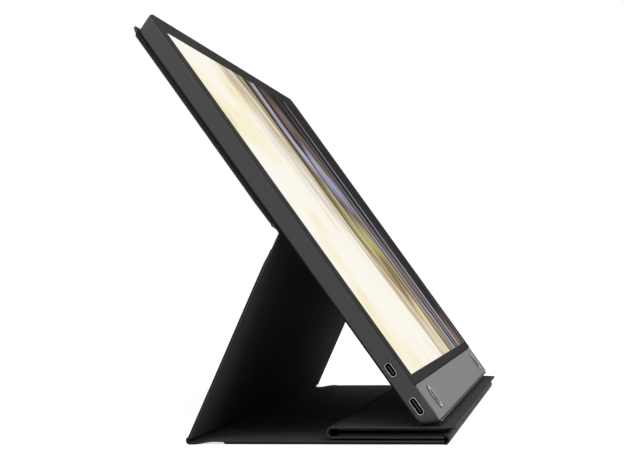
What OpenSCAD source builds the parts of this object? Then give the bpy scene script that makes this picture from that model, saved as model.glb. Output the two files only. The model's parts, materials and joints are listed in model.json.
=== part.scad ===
// Portable monitor standing on its folded folio cover.
// Millimetres, +X to the viewer's right, the screen faces -Y, +Z up.
// The origin is the centre of the floor panel's underside, on the table.

/* [Display body] */
// Thickness from the glass to the back
display_t = 9.7; // [9:0.1:12]
// Angle between the screen and the table
screen_angle = 54.7; // [48:0.1:60]
// Radius of the display's four corners, seen from the front
corner_r = 5; // [3:0.5:9]
// How far the top edge slants in towards the back
top_slant = 2.8; // [0:0.1:5]
// How far the bottom edge slants in towards the back
bottom_slant = 3.7; // [0:0.1:5]
// Thickness of the frame's walls
frame_wall = 1.6; // [1:0.1:2.4]
// Width of the ledge that carries the front glass
ledge_w = 2.2; // [1:0.1:2.8]
// Thickness of that ledge
ledge_t = 0.8; // [0.5:0.1:1.2]
// Thickness of the rear shell
shell_t = 0.8; // [0.6:0.1:1.2]
// Chamfer round the rear shell's outer edge
shell_chamfer = 0.45; // [0:0.05:0.6]

/* [Glass and panel] */
// Thickness of the front glass
glass_t = 1; // [0.7:0.1:1.4]
// Step from the display's outer edge in to the glass
glass_inset = 0.3; // [0.1:0.1:1]
// Width of the picture
picture_w = 344.2; // [300:0.1:390]
// Height of the picture
picture_h = 193.6; // [170:0.1:225]
// Dark border between the picture and the display's sides
side_bezel = 7.9; // [7:0.1:12]
// Dark border between the picture and the display's top edge
top_bezel = 10.7; // [8:0.1:14]
// Dark border between the chin and the picture
lower_bezel = 4.9; // [4.5:0.1:9]
// Border of the liquid crystal cell round the picture
cell_border = 2.4; // [1:0.1:2.6]
// Thickness of the cell
cell_t = 1.2; // [0.8:0.1:1.5]
// Clear adhesive between glass and cell
bond_t = 0.2; // [0.1:0.05:0.4]
// Thickness of the light guide with its films
guide_t = 0.8; // [0.5:0.1:1]
// Sheet of the metal panel tray
tray_t = 0.4; // [0.3:0.1:0.6]
// Height of the lamp bar beside the light guide's lower edge
lamp_h = 1.6; // [1:0.1:2.2]

/* [Chin and buttons] */
// Height of the metal chin plate
chin_h = 18.8; // [17:0.1:26]
// Thickness of the chin plate
chin_t = 0.8; // [0.6:0.1:1]
// Step from the display's side to the chin plate
chin_inset = 1.5; // [1:0.1:4]
// Height of the bright trim below the chin plate
trim_h = 0.8; // [0.5:0.1:1.2]
// Gap between the chin plate and its neighbours
chin_gap = 0.3; // [0.1:0.05:0.5]
// Diameter of the two round buttons
button_d = 12; // [8:0.5:13]
// Ring gap round each button
button_gap = 0.3; // [0.1:0.05:0.5]
// How far a button's rim stands above the plate
button_rise = 0.45; // [0.1:0.05:0.9]
// Distance from the display's side to each button's centre
button_inset = 31; // [24:1:60]
// How far a button travels when pressed
button_travel = 0.5; // [0.2:0.05:0.7]
// Width of the collar that holds a button behind the plate
collar_w = 0.7; // [0.4:0.1:1]
// Thickness of that collar
collar_t = 0.7; // [0.5:0.1:1]
// Depth of the dish turned into a button's face
dish_depth = 0.25; // [0.1:0.05:0.4]
// Side of the square switch behind each button
switch_w = 6; // [4:0.5:8]
// Height of the switch body
switch_t = 1.6; // [1.2:0.1:1.8]
// Diameter of the plunger between button and switch
plunger_d = 2.4; // [1.6:0.1:3.5]
// Radial clearance of the plunger in its switch
plunger_gap = 0.06; // [0.03:0.01:0.1]

/* [Ports] */
// Height of the lower port's centre above the display's bottom edge
usb_c_height = 12; // [9:0.5:15]
// Height of the upper port's centre above the display's bottom edge
hdmi_height = 32; // [24:0.5:40]
// Depth of both ports' centres behind the glass
port_depth = 5.6; // [5.4:0.1:5.8]
// Long side of the lower port's shell, outside
usb_c_w = 8.9; // [8.9:0.1:9.4]
// Short side of the lower port's shell, outside
usb_c_h = 3.2; // [3.2:0.1:3.4]
// Long side of the upper port's shell, outside
hdmi_w = 7; // [6.8:0.1:7.4]
// Short side of the upper port's shell, outside
hdmi_h = 3.2; // [3:0.1:3.4]
// Wall of both port shells
port_wall = 0.3; // [0.2:0.05:0.4]
// Length of both port shells
port_len = 7.4; // [6:0.2:9]
// Length of the solid block behind each port's cavity
port_block = 1.4; // [1:0.1:2]
// Gap between each port shell and the frame
port_gap = 0.25; // [0.1:0.05:0.4]

/* [Electronics] */
// Width of the main circuit board
board_w = 76; // [60:1:110]
// Height of the main circuit board
board_h = 38; // [32:1:50]
// Thickness of all circuit boards
board_t = 0.8; // [0.6:0.1:1]
// Side of the small button boards
button_board_w = 14; // [11:0.5:15]
// Height of the small button boards
button_board_h = 9; // [8:0.5:10]
// Diameter of the bosses that carry the boards
boss_d = 4; // [3:0.5:5]
// Diameter of the board screws' threads
screw_d = 1.6; // [1.2:0.1:2]
// Diameter of the board screws' heads
screw_head_d = 3; // [2.4:0.1:3.6]
// Thickness of the board screws' heads
screw_head_t = 0.7; // [0.5:0.1:0.9]
// Distance of the board screws from the board's edges
screw_edge = 3; // [2.5:0.5:5]
// Side of the large chip on the main board
chip_w = 14; // [8:1:18]
// Height of the chips
chip_t = 0.9; // [0.6:0.1:1.1]
// Width of the flat cable from the board to the cell
ribbon_w = 18; // [10:1:24]
// Thickness of the flat cable
ribbon_t = 0.2; // [0.15:0.05:0.3]
// Diameter of the holding magnets
magnet_d = 10; // [6:1:14]
// Thickness of the magnets in the display
magnet_t = 1.5; // [1:0.1:3]
// Thickness of the steel discs in the cover
disc_t = 0.8; // [0.4:0.1:1.1]
// Distance of the magnets from the display's centre line
magnet_spread = 120; // [60:5:150]

/* [Cover] */
// Step from the display's side in to the cover's side
cover_step = 1; // [0:0.1:4]
// Thickness of the cover's leather
skin_t = 0.5; // [0.3:0.05:0.7]
// Thickness of the soft lining
lining_t = 0.5; // [0.3:0.05:0.7]
// Thickness of the stiff boards in the cover
stiffener_t = 1.2; // [0.8:0.1:1.8]
// Pressed border at the sides, where leather meets lining
side_border = 2; // [2:0.5:6]
// Pressed border at the cover's two free ends
end_border = 4.5; // [3:0.5:8]
// Pressed border beside each fold
fold_border = 2.2; // [1.5:0.1:4]
// Corner radius at the cover's free ends
cover_r = 7; // [3:0.5:12]
// How far the upper panel stands past the display's top edge
top_overhang = 0.7; // [0:0.1:3]
// Length of the hinge strip on the display's back
hinge_strip_len = 5.5; // [4:0.5:12]
// Height of the leg's hinge above the display's bottom edge
hinge_height = 111.5; // [108:0.5:114]
// Soft padding added to the lining behind the display
upper_pad = 0.4; // [0:0.1:1]
// Width of the leg's soft end below the hinge
leg_soft_end = 8; // [2:0.5:14]
// Width of the spine between the leg's foot and the floor panel
spine_w = 13.4; // [9:0.2:16]
// Length of the floor panel
floor_len = 103; // [100:0.5:112]
// Length of the middle flap panel, folded back on the floor panel
middle_len = 50.6; // [44:0.2:56]
// Length of the front flap panel, folded forward on the middle one
front_len = 55.3; // [50:0.1:60]

/* [Folds] */
// Gap between floor panel and middle panel
floor_gap = 0.6; // [0.4:0.1:1.4]
// Gap between middle panel and front panel
middle_gap = 1.2; // [0.4:0.1:1.8]
// Thickness of the soft cover where it folds
fold_t = 0.9; // [0.6:0.1:1.1]
// Radius of the fold at the leg's foot
foot_r = 1.9; // [1.7:0.1:2.6]
// Gap between the display's back and the folds or the closed leg
back_gap = 0.35; // [0.1:0.05:0.5]
// Height at which the display's edge stands over the front panel
rest_gap = 0.3; // [0.2:0.05:0.6]
// Gap left at the turning line of each fold
turn_gap = 0.6; // [0.5:0.1:1]
// Distance of the display's low edge from the front panel's free edge
rest_inset = 15.7; // [10:0.5:40]

/* [Hidden] */
$fn = 48;
// Overlap that lets a cut pass cleanly through a face
cut = 0.05;

// Size of the display's front
display_w = picture_w + 2 * side_bezel;
display_h = trim_h + 2 * chin_gap + chin_h + lower_bezel + picture_h + top_bezel;
cover_w = display_w - 2 * cover_step;
// Display levels, measured forward from the flat of its back
glass_z = display_t - glass_t;
bond_z = glass_z - bond_t;
cell_z = bond_z - cell_t;
guide_z = cell_z - guide_t;
tray_z = guide_z - tray_t;
port_z = display_t - port_depth;
chin_z = glass_z;
// Display heights, measured up the screen from its bottom edge
chin_bottom = trim_h + chin_gap;
chin_top = chin_bottom + chin_h;
glass_bottom = chin_top + chin_gap;
picture_bottom = glass_bottom + lower_bezel;
button_y = chin_bottom + chin_h / 2;
// Room for the panel tray's wall round cell and light guide
cell_gap = 0.2;
tray_clear = cell_border + cell_gap + tray_t;
// Boards
board_z = port_z - board_t / 2;
board_x = -display_w / 2 + frame_wall + 1;
board_y = usb_c_height - 6;
board_holes = [
    for (dx = [screw_edge + port_len, board_w - screw_edge], dy = [board_h / 2, board_h - screw_edge])
        [board_x + dx, board_y + dy]
];
chip_x = board_x + port_len + screw_edge + screw_head_d;
ribbon_x = board_x + board_w - 2 * screw_edge - ribbon_w / 2;
// Buttons, measured like the display
button_x = display_w / 2 - button_inset;
button_face_z = chin_z + chin_t + button_rise;
collar_z = chin_z - collar_t;
switch_z = collar_z - button_travel - switch_t - 0.4;
button_board_z = switch_z - board_t;
// Cover
panel_t = lining_t + stiffener_t + skin_t;
border_t = lining_t + skin_t;
upper_start = hinge_height + hinge_strip_len;
upper_end = display_h + top_overhang;
upper_len = upper_end - upper_start;
magnet_y = upper_start + upper_len * 0.6;

// The folded stack on the table: floor panel, middle panel, front panel
middle_z = panel_t + floor_gap;
front_z = middle_z + panel_t + middle_gap;
stack_top = front_z + panel_t;
front_axis = [-floor_len / 2, panel_t + floor_gap / 2];
rear_axis = [front_axis[0] + middle_len, middle_z + panel_t + middle_gap / 2];
front_fold_r = panel_t + floor_gap / 2;
rear_fold_r = panel_t + middle_gap / 2;
// The leg turns about the centre of its foot fold
foot_axis = [floor_len / 2 + spine_w, foot_r];
leg_face = fold_t / 2 - 0.15;
// The display's lowest corner, measured up the screen
low_corner = bottom_slant + shell_chamfer;
display_z = stack_top + rest_gap - low_corner * sin(screen_angle);
// The hinge lies in the middle of the hinge strip, behind the display
hinge_depth = back_gap + fold_t / 2;
hinge_z = display_z + hinge_height * sin(screen_angle) - hinge_depth * cos(screen_angle);
display_y = rear_axis[0] - front_len + rest_inset - low_corner * cos(screen_angle);
hinge_axis = [
    display_y + hinge_height * cos(screen_angle) + hinge_depth * sin(screen_angle), hinge_z
];
// Length and slope of the leg, from its foot to the hinge
leg_len = norm(hinge_axis - foot_axis);
leg_angle = atan2(hinge_axis[1] - foot_axis[1], foot_axis[0] - hinge_axis[0]);
// Angle between the leg and the display's back, and the leg's whole swing to flat
leg_fold_angle = 180 - screen_angle - leg_angle;
leg_swing = 180 - leg_angle;
echo(hinge_axis = hinge_axis, foot_axis = foot_axis, front_axis = front_axis,
    rear_axis = rear_axis, display_origin = [display_y, display_z], leg_len = leg_len,
    leg_angle = leg_angle, leg_fold_angle = leg_fold_angle, leg_swing = leg_swing);

// Flat outlines

// Rectangle standing on y = 0 with four round corners
module round_plate(w, h, r) {
    translate([-w / 2 + r, 0]) square([w - 2 * r, h]);
    translate([-w / 2, r]) square([w, h - 2 * r]);
    for (x = [-w / 2 + r, w / 2 - r], y = [r, h - r]) translate([x, y]) circle(r);
}

// Sheet from y0 to y1 with its own corner radius at each end
module sheet_outline(w, y0, y1, r0, r1) {
    translate([-w / 2, y0 + r0]) square([w, y1 - y0 - r0 - r1]);
    if (r0 > 0) sheet_end(w, y0 + r0, r0, -1);
    if (r1 > 0) sheet_end(w, y1 - r1, r1, 1);
}

module sheet_end(w, y, r, side) {
    translate([-w / 2 + r, side > 0 ? y - cut : y - r]) square([w - 2 * r, r + cut]);
    for (x = [-w / 2 + r, w / 2 - r]) translate([x, y]) circle(r);
}

// Slot outline of a port shell
module port_outline(w, h, r) {
    translate([-w / 2 + r, -h / 2]) square([w - 2 * r, h]);
    translate([-w / 2, -h / 2 + r]) square([w, h - 2 * r]);
    for (x = [-w / 2 + r, w / 2 - r], y = [-h / 2 + r, h / 2 - r]) translate([x, y]) circle(r);
}

// Prism along X whose outline is drawn in Y and Z
module along_x(w) rotate([90, 0, 90]) linear_extrude(w, center = true) children();

// Places

// Display: y runs up the screen, z runs forward out of its back
module on_display() translate([0, display_y, display_z]) rotate([screen_angle, 0, 0]) children();

// Leg: y runs from the foot to the hinge, z towards the display
module on_leg() translate([0, foot_axis[0], foot_axis[1]])
    rotate([180 - leg_angle, 0, 0]) children();

// Floor panel: y runs back, the lining faces up
module on_floor() translate([0, 0, panel_t]) children();

// Middle panel: turned over on the floor panel
module on_middle() translate([0, front_axis[0], middle_z]) rotate([180, 0, 0]) children();

// Front panel: the right way up again, on top
module on_front() translate([0, rear_axis[0], stack_top]) children();

// On the display's left side: outline x runs up the screen, the depth runs inwards
module at_port(height) translate([-display_w / 2, height, port_z])
    rotate([90, 0, 90]) children();

// Cover panels: lining at the top, z = 0, leather at the bottom. Each end has a pressed border,
// or none where the leather runs straight on round the outside of a fold

module panel_lining(y0, y1, r0, r1)
    translate([0, 0, -lining_t]) linear_extrude(lining_t)
        sheet_outline(cover_w, y0, y1, r0, r1);

module stiffener_outline(y0, y1, b0, b1, grow)
    translate([-cover_w / 2 + side_border - grow, y0 + b0 - grow])
        square([cover_w - 2 * side_border + 2 * grow, y1 - y0 - b0 - b1 + 2 * grow]);

module panel_stiffener(y0, y1, b0, b1)
    translate([0, 0, -lining_t - stiffener_t]) linear_extrude(stiffener_t)
        stiffener_outline(y0, y1, b0, b1, 0);

module panel_leather(y0, y1, b0, b1, r0, r1) difference() {
    union() {
        translate([0, 0, -border_t]) linear_extrude(skin_t)
            sheet_outline(cover_w, y0, y1, r0, r1);
        translate([0, 0, -panel_t]) linear_extrude(panel_t - lining_t)
            stiffener_outline(y0, y1, b0, b1, skin_t);
    }
    translate([0, 0, -lining_t - stiffener_t]) linear_extrude(stiffener_t + cut)
        stiffener_outline(y0, y1, b0, b1, 0);
}

// Half ring round a fold's turning line, on its front side or its back side
module half_ring(r, side) along_x(cover_w) difference() {
    circle(r);
    circle(r - fold_t);
    translate([side > 0 ? -2 * r : 0, -r - cut]) square([2 * r, 2 * r + 2 * cut]);
}

// Display body

module rear_shell() color("#26272a") on_display() {
    intersection() {
        along_x(display_w) polygon([
            [low_corner, 0],
            [display_h - top_slant - shell_chamfer, 0],
            [display_h - top_slant, shell_t],
            [bottom_slant, shell_t]
        ]);
        translate([0, 0, -cut]) linear_extrude(shell_t + 2 * cut)
            round_plate(display_w, display_h, corner_r);
        translate([0, display_h + cut, 0]) rotate([90, 0, 0]) linear_extrude(display_h + 2 * cut)
            polygon([
                [-display_w / 2 + 2 * shell_chamfer, 0],
                [display_w / 2 - 2 * shell_chamfer, 0],
                [display_w / 2, shell_t],
                [-display_w / 2, shell_t]
            ]);
    }
    for (hole = board_holes) boss(hole, board_z);
    for (side = [-1, 1], dx = [-1, 1])
        boss([side * button_x + dx * (button_board_w / 2 - boss_d / 2), button_y], button_board_z);
}

// Hollow boss on the rear shell, threaded for a board screw
module boss(place, top) translate([place[0], place[1], shell_t - cut]) difference() {
    cylinder(d = boss_d, h = top - shell_t + cut);
    translate([0, 0, 2 * cut]) cylinder(d = screw_d, h = top);
}

module frame_section(inset) polygon([
    [inset, glass_z],
    [display_h - inset, glass_z],
    [display_h - top_slant - inset, shell_t],
    [bottom_slant + inset, shell_t]
]);

module side_frame() color("#4a4b4d") on_display() difference() {
    intersection() {
        along_x(display_w) frame_section(0);
        linear_extrude(display_t) round_plate(display_w, display_h, corner_r);
    }
    // The hollow behind the ledge, and the window in front of it
    intersection() {
        along_x(display_w - 2 * frame_wall) frame_section(frame_wall);
        linear_extrude(glass_z - ledge_t)
            translate([0, frame_wall])
                round_plate(display_w - 2 * frame_wall, display_h - 2 * frame_wall,
                    corner_r - frame_wall);
    }
    translate([0, frame_wall + ledge_w, 0]) linear_extrude(display_t)
        round_plate(display_w - 2 * frame_wall - 2 * ledge_w,
            display_h - 2 * frame_wall - 2 * ledge_w, 1);
    translate([0, chin_bottom, 0]) linear_extrude(display_t)
        translate([-display_w / 2 + frame_wall + ledge_w, 1])
            square([display_w - 2 * frame_wall - 2 * ledge_w, frame_wall + ledge_w]);
    // A thin slice at the back keeps the hollow open behind
    translate([0, 0, shell_t - cut]) linear_extrude(2 * cut)
        translate([0, bottom_slant + frame_wall])
            round_plate(display_w - 2 * frame_wall,
                display_h - top_slant - bottom_slant - 2 * frame_wall, 1);
    at_port(usb_c_height) port_hole(usb_c_w, usb_c_h);
    at_port(hdmi_height) port_hole(hdmi_w, hdmi_h);
}

module port_hole(w, h) translate([0, 0, -cut]) linear_extrude(frame_wall + 2 * cut)
    port_outline(w + 2 * port_gap, h + 2 * port_gap, h / 2.2 + port_gap);

module front_glass() color("#141416") on_display()
    translate([0, glass_bottom, glass_z]) linear_extrude(glass_t)
        glass_outline(display_w - 2 * glass_inset, display_h - glass_inset - glass_bottom);

// Only the upper corners are round
module glass_outline(w, h) {
    translate([-w / 2, 0]) square([w, h - corner_r]);
    translate([-w / 2 + corner_r, 0]) square([w - 2 * corner_r, h]);
    for (x = [-w / 2 + corner_r, w / 2 - corner_r]) translate([x, h - corner_r]) circle(corner_r);
}

// Plate in the panel stack, grown past the picture by a margin
module panel_plate(z, t, margin)
    translate([-picture_w / 2 - margin, picture_bottom - margin, z])
        cube([picture_w + 2 * margin, picture_h + 2 * margin, t]);

module glass_bond() color("#303336") on_display() panel_plate(bond_z, bond_t, cell_border);

module display_cell() color("#dcd3bd") on_display() panel_plate(cell_z, cell_t, cell_border);

module light_guide() color("#eef2f4") on_display() difference() {
    panel_plate(guide_z, guide_t, cell_border);
    translate([-display_w / 2, picture_bottom - cell_border - cut, guide_z - cut])
        cube([display_w, lamp_h + cut, guide_t + 2 * cut]);
}

module lamp_bar() color("#f4e9b0") on_display()
    translate([-picture_w / 2, picture_bottom - cell_border, guide_z])
        cube([picture_w, lamp_h, guide_t]);

module panel_tray() color("#9a9da1") on_display() difference() {
    panel_plate(tray_z, bond_z - tray_z, tray_clear);
    panel_plate(guide_z, display_t, cell_border + cell_gap);
    // Slot in the lower wall for the flat cable
    translate([ribbon_x - ribbon_w / 2 - 1, picture_bottom - tray_clear - cut, cell_z])
        cube([ribbon_w + 2, tray_t + 2 * cut, display_t]);
}

module chin_plate() color("#8d8e8f") on_display() difference() {
    translate([-display_w / 2 + chin_inset, chin_bottom, chin_z])
        cube([display_w - 2 * chin_inset, chin_h, chin_t]);
    for (side = [-1, 1]) translate([side * button_x, button_y, chin_z - cut])
        cylinder(d = button_d + 2 * button_gap, h = chin_t + 2 * cut);
}

module chin_trim() color("#a9abad") on_display()
    translate([-display_w / 2 + corner_r, 0, chin_z])
        cube([display_w - 2 * corner_r, trim_h, chin_t]);

// Electronics

module main_board() color("#1d4d33") on_display() {
    difference() {
        translate([board_x, board_y, board_z]) cube([board_w, board_h, board_t]);
        for (hole = board_holes) translate([hole[0], hole[1], board_z - cut])
            cylinder(d = screw_d + 0.3, h = board_t + 2 * cut);
        port_notch(usb_c_height, usb_c_w);
        port_notch(hdmi_height, hdmi_w);
        // Room for the left button's own board and its bosses
        translate([-button_x - button_board_w / 2 - 1, board_y - cut, board_z - cut])
            cube([button_board_w + 2, button_y + button_board_h / 2 + 1.5 - board_y + cut,
                board_t + 2 * cut]);
    }
    translate([chip_x, 0, board_z + board_t]) {
        translate([0, board_y + board_h / 2 - chip_w / 2, 0]) cube([chip_w, chip_w, chip_t]);
        translate([chip_w / 4, board_y + board_h - chip_w / 2 - 1, 0])
            cube([chip_w / 2, chip_w / 2, chip_t]);
    }
}

// Notch in the board's edge that a port shell sits in
module port_notch(height, w)
    translate([board_x - cut, height - w / 2 - port_gap, board_z - cut])
        cube([port_len - frame_wall - 1 + 0.2 + cut, w + 2 * port_gap, board_t + 2 * cut]);

module board_screws() color("#b9bcc0") on_display() for (hole = board_holes)
    translate([hole[0], hole[1], 0]) {
        translate([0, 0, board_z + board_t]) cylinder(d = screw_head_d, h = screw_head_t);
        translate([0, 0, shell_t + 4 * cut])
            cylinder(d = screw_d - 0.1, h = board_z + board_t - shell_t - 4 * cut);
    }

module port_shell(w, h) difference() {
    linear_extrude(port_len) port_outline(w, h, h / 2.2);
    translate([0, 0, -cut]) linear_extrude(port_len - port_block + cut)
        port_outline(w - 2 * port_wall, h - 2 * port_wall, h / 2.2 - port_wall);
}

module port_tongue(w, t) translate([-w / 2, -t / 2, 0.6])
    cube([w, t, port_len - port_block - 0.6]);

module usb_c_shell() color("#c3c5c8") on_display() at_port(usb_c_height)
    port_shell(usb_c_w, usb_c_h);

module usb_c_tongue() color("#17181a") on_display() at_port(usb_c_height)
    port_tongue(usb_c_w * 0.74, 0.7);

module micro_hdmi_shell() color("#c3c5c8") on_display() at_port(hdmi_height)
    port_shell(hdmi_w, hdmi_h);

module micro_hdmi_tongue() color("#17181a") on_display() at_port(hdmi_height)
    port_tongue(hdmi_w * 0.62, 0.7);

// Flat cable from the board's face up into the tray's slot, under the cell's edge
module panel_ribbon() color("#c9822b") on_display()
    translate([ribbon_x, 0, 0]) along_x(ribbon_w) {
        edge = picture_bottom - tray_clear;
        low = board_z + board_t;
        turn = edge - 2;
        start = turn + 6;
        polygon([
            [start, low], [start, low + ribbon_t], [turn + ribbon_t, low + ribbon_t],
            [turn + ribbon_t, cell_z], [edge + tray_clear - cell_border, cell_z],
            [edge + tray_clear - cell_border, cell_z + ribbon_t],
            [turn, cell_z + ribbon_t], [turn, low]
        ]);
    }

module button_cap(side) on_display() translate([side * button_x, button_y, 0])
    rotate_extrude() polygon([
        [0, collar_z],
        [button_d / 2 + collar_w, collar_z],
        [button_d / 2 + collar_w, chin_z],
        [button_d / 2, chin_z],
        [button_d / 2, button_face_z - 0.2],
        [button_d / 2 - 0.2, button_face_z],
        [button_d / 2 - 1, button_face_z],
        [0, button_face_z - dish_depth]
    ]);

module button_plunger(side) on_display() translate([side * button_x, button_y, 0])
    translate([0, 0, switch_z + button_travel + 0.2])
        cylinder(d = plunger_d, h = collar_z - switch_z - button_travel - 0.2);

module button_switch(side) on_display() translate([side * button_x, button_y, switch_z])
    difference() {
        translate([-switch_w / 2, -switch_w / 2, 0]) cube([switch_w, switch_w, switch_t]);
        translate([0, 0, 0.2]) cylinder(d = plunger_d + 2 * plunger_gap, h = switch_t);
    }

module button_board(side) on_display()
    translate([side * button_x - button_board_w / 2, button_y - button_board_h / 2,
        button_board_z]) cube([button_board_w, button_board_h, board_t]);

module left_button() color("#a7a9ab") button_cap(-1);
module left_plunger() color("#e8e2d2") button_plunger(-1);
module left_switch() color("#2b2c2e") button_switch(-1);
module left_button_board() color("#1d4d33") button_board(-1);
module right_button() color("#a7a9ab") button_cap(1);
module right_plunger() color("#e8e2d2") button_plunger(1);
module right_switch() color("#2b2c2e") button_switch(1);
module right_button_board() color("#1d4d33") button_board(1);

module shell_magnets() color("#b4b7ba") on_display() for (side = [-1, 1])
    translate([side * magnet_spread, magnet_y, shell_t]) cylinder(d = magnet_d, h = magnet_t);

// Upper panel, held to the display's back

module upper_lining() color("#232325") on_display()
    translate([0, 0, -lining_t - upper_pad]) linear_extrude(lining_t + upper_pad)
        sheet_outline(cover_w, upper_start, upper_end, 0, cover_r);

module behind_pad() on_display() translate([0, 0, -upper_pad]) children();

module upper_stiffener() color("#5d574b") behind_pad() difference() {
    panel_stiffener(upper_start, upper_end, fold_border, end_border);
    disc_places(disc_t + cut);
}

module upper_leather() color("#1a1a1b") behind_pad()
    panel_leather(upper_start, upper_end, fold_border, end_border, 0, cover_r);

module cover_discs() color("#9ea1a4") behind_pad() disc_places(disc_t);

// Discs let into the stiff board from its lining side
module disc_places(t) for (side = [-1, 1])
    translate([side * magnet_spread, magnet_y, -lining_t - disc_t]) cylinder(d = magnet_d, h = t);

// Soft strip between the upper panel and the leg, with the bead it turns about
module hinge_strip() color("#1f1f20") on_display() {
    translate([-cover_w / 2, hinge_height, -back_gap - fold_t])
        cube([cover_w, hinge_strip_len, fold_t]);
    translate([0, hinge_height, -hinge_depth]) along_x(cover_w) circle(fold_t / 2);
}

// Leg

leg_top = leg_len - turn_gap;
module leg_raise() translate([0, 0, leg_face]) children();

module leg_lining() color("#232325") on_leg() leg_raise()
    panel_lining(turn_gap, leg_top, 0, 0);

module leg_stiffener() color("#5d574b") on_leg() leg_raise()
    panel_stiffener(turn_gap, leg_top, skin_t, leg_soft_end);

module leg_leather() color("#1a1a1b") on_leg() leg_raise()
    panel_leather(turn_gap, leg_top, skin_t, leg_soft_end, 0, 0);

// Rounded fold under the leg's foot, from the table round to the leg's outside, with a short
// straight end that reaches the leg's leather. Its section is one closed line.
module foot_fold() color("#1f1f20") {
    inner_r = foot_r - fold_t;
    turn = 180 - leg_angle;
    steps = 24;
    up = [-cos(leg_angle), sin(leg_angle)] * turn_gap;
    outer = [for (i = [0:steps]) let (a = turn * i / steps - 90) foot_r * [cos(a), sin(a)]];
    inner = [for (i = [0:steps]) let (a = turn * (1 - i / steps) - 90)
        inner_r * [cos(a), sin(a)]];
    section = concat(outer, [outer[steps] + up, inner[0] + up], inner);
    translate([0, foot_axis[0], foot_axis[1]]) along_x(cover_w) polygon(section);
}

// Soft spine, rising from the table to the floor panel's border
module spine_strip() color("#1f1f20") along_x(cover_w) {
    y0 = floor_len / 2;
    y1 = foot_axis[0];
    z0 = panel_t - border_t;
    polygon([
        [y0, z0], [y0 + spine_w * 0.2, z0 + 0.1], [y0 + spine_w * 0.75, 0.1], [y1, 0],
        [y1, fold_t], [y0 + spine_w * 0.72, fold_t + 0.1],
        [y0 + spine_w * 0.2, z0 + fold_t + 0.1], [y0, z0 + fold_t]
    ]);
}

// Floor panel, lying on the table

module floor_lining() color("#232325") on_floor()
    panel_lining(-floor_len / 2, floor_len / 2, 0, 0);

module floor_stiffener() color("#5d574b") on_floor()
    panel_stiffener(-floor_len / 2, floor_len / 2, skin_t, fold_border);

module floor_leather() color("#1a1a1b") on_floor()
    panel_leather(-floor_len / 2, floor_len / 2, skin_t, fold_border, 0, 0);

// Middle and front flap panels, folded on the floor panel

module front_fold() color("#1f1f20")
    translate([0, front_axis[0], front_axis[1]]) half_ring(front_fold_r, -1);

module middle_lining() color("#232325") on_middle()
    panel_lining(-middle_len, 0, 0, 0);

module middle_stiffener() color("#5d574b") on_middle()
    panel_stiffener(-middle_len, 0, fold_border, skin_t);

module middle_leather() color("#1a1a1b") on_middle()
    panel_leather(-middle_len, 0, fold_border, skin_t, 0, 0);

module rear_fold() color("#1f1f20")
    translate([0, rear_axis[0], rear_axis[1]]) half_ring(rear_fold_r, 1);

module front_lining() color("#232325") on_front()
    panel_lining(-front_len, 0, cover_r, 0);

module front_stiffener() color("#5d574b") on_front()
    panel_stiffener(-front_len, 0, end_border, fold_border);

module front_leather() color("#1a1a1b") on_front()
    panel_leather(-front_len, 0, end_border, fold_border, cover_r, 0);

rear_shell();
side_frame();
front_glass();
glass_bond();
display_cell();
light_guide();
lamp_bar();
panel_tray();
chin_plate();
chin_trim();
main_board();
board_screws();
usb_c_shell();
usb_c_tongue();
micro_hdmi_shell();
micro_hdmi_tongue();
panel_ribbon();
left_button();
left_plunger();
left_switch();
left_button_board();
right_button();
right_plunger();
right_switch();
right_button_board();
shell_magnets();
upper_lining();
upper_stiffener();
upper_leather();
cover_discs();
hinge_strip();
leg_lining();
leg_stiffener();
leg_leather();
foot_fold();
spine_strip();
floor_lining();
floor_stiffener();
floor_leather();
front_fold();
middle_lining();
middle_stiffener();
middle_leather();
rear_fold();
front_lining();
front_stiffener();
front_leather();
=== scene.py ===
import bmesh
import bpy
import json
import math
import numpy as np
from mathutils import Matrix, Vector, noise


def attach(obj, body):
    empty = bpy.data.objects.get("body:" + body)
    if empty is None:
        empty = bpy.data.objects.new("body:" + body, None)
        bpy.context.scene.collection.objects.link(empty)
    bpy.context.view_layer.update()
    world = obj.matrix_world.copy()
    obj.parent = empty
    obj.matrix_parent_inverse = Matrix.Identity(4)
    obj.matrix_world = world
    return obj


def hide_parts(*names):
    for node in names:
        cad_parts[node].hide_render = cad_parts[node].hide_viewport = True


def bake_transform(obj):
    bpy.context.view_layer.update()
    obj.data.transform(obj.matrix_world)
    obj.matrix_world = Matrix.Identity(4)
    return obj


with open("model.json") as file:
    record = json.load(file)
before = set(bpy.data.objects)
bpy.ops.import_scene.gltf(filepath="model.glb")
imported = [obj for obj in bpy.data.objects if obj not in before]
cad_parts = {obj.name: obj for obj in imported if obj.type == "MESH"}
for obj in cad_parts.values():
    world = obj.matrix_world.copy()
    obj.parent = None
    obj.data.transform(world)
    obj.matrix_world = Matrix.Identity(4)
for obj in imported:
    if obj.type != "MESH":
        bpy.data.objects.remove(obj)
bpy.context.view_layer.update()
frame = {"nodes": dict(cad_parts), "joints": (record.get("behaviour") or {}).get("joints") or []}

MM = 0.001

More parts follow.
